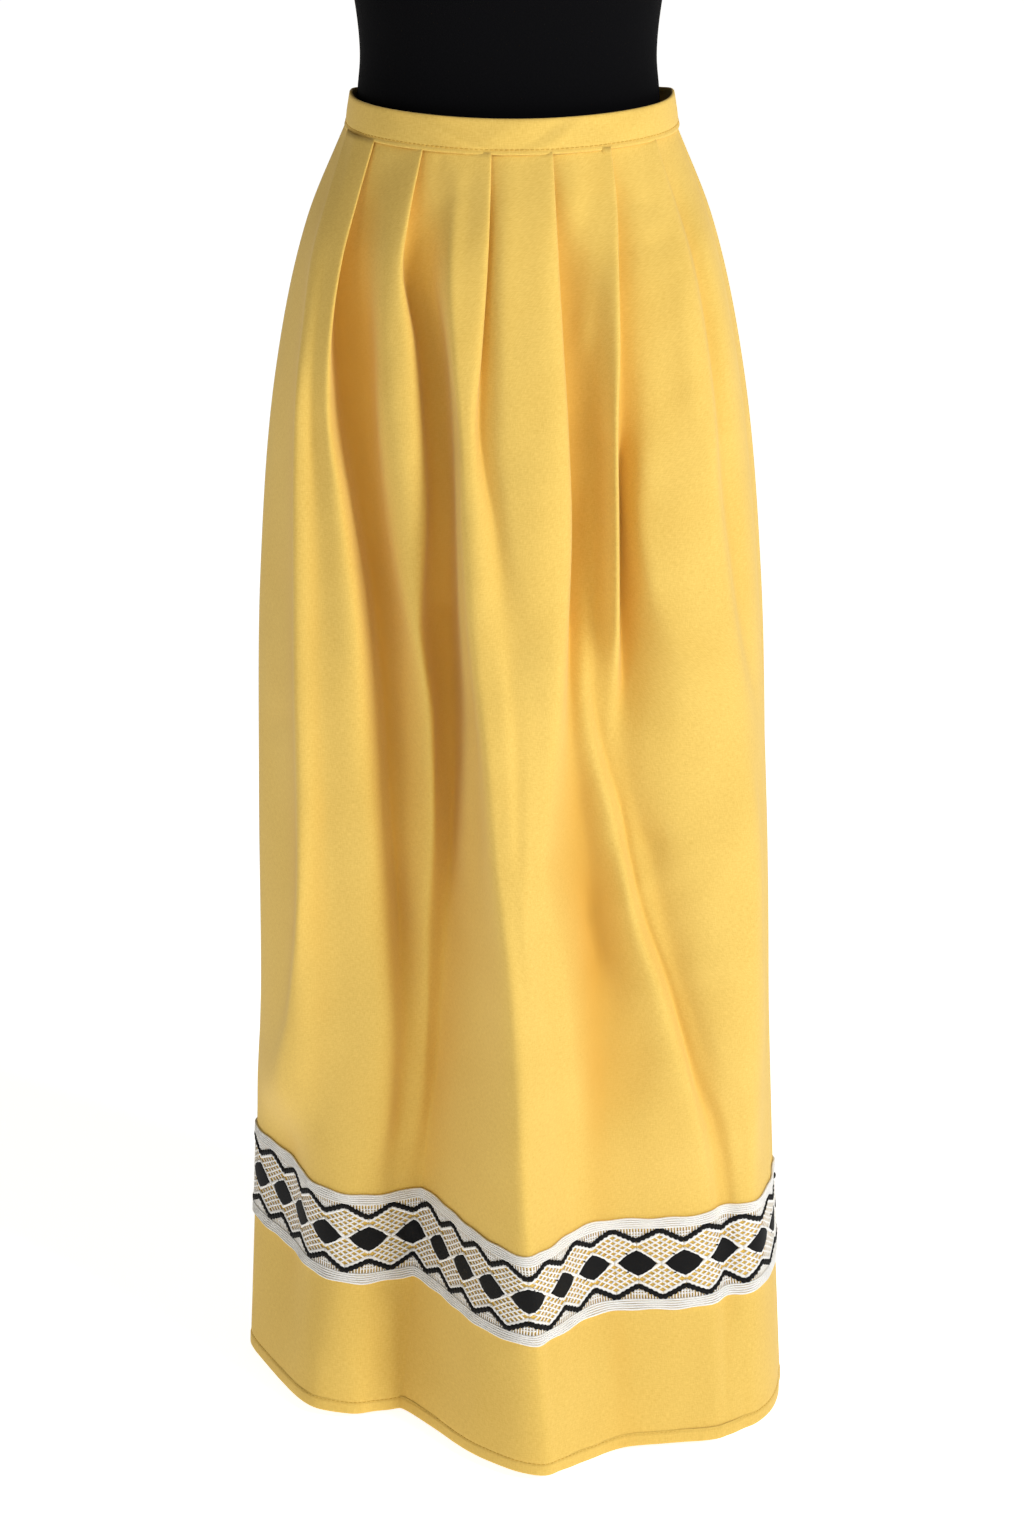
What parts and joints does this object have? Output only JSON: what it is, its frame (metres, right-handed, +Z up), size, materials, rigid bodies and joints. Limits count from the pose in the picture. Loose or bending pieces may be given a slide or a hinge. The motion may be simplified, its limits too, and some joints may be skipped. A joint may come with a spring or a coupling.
{
  "type": "pleated tube skirt on dress form",
  "caption": "Long pleated tube skirt with a waistband and a lace band near its hem, worn by a limbless dress form on a pole and round base.",
  "frame": {"origin": "middle of the underside of the round base, on the floor", "axes": "+Z up along the pole; the front of the skirt faces -Y; +X is to the right of a viewer who faces the front"},
  "size_m": [0.409, 0.2959, 1.4933],
  "materials": {
    "yellow_cotton": "plain-woven cotton, matt with a faint sheen",
    "lace": "white cotton lace worked with black cord",
    "button": "polished",
    "form_cover": "matt black jersey, stretched smooth",
    "black_enamel": "satin black enamel",
    "base_iron": "cast, enamelled satin black"
  },
  "bodies": {
    "root": {"skirt_front": "yellow_cotton", "skirt_back": "yellow_cotton", "waistband": "yellow_cotton", "band_button": "button", "lace_front": "lace", "lace_back": "lace", "form_torso": "form_cover", "form_neck_cap": "black_enamel", "stand_flange": "black_enamel", "stand_pole": "black_enamel", "stand_base": "base_iron"}
  },
  "joints": []
}
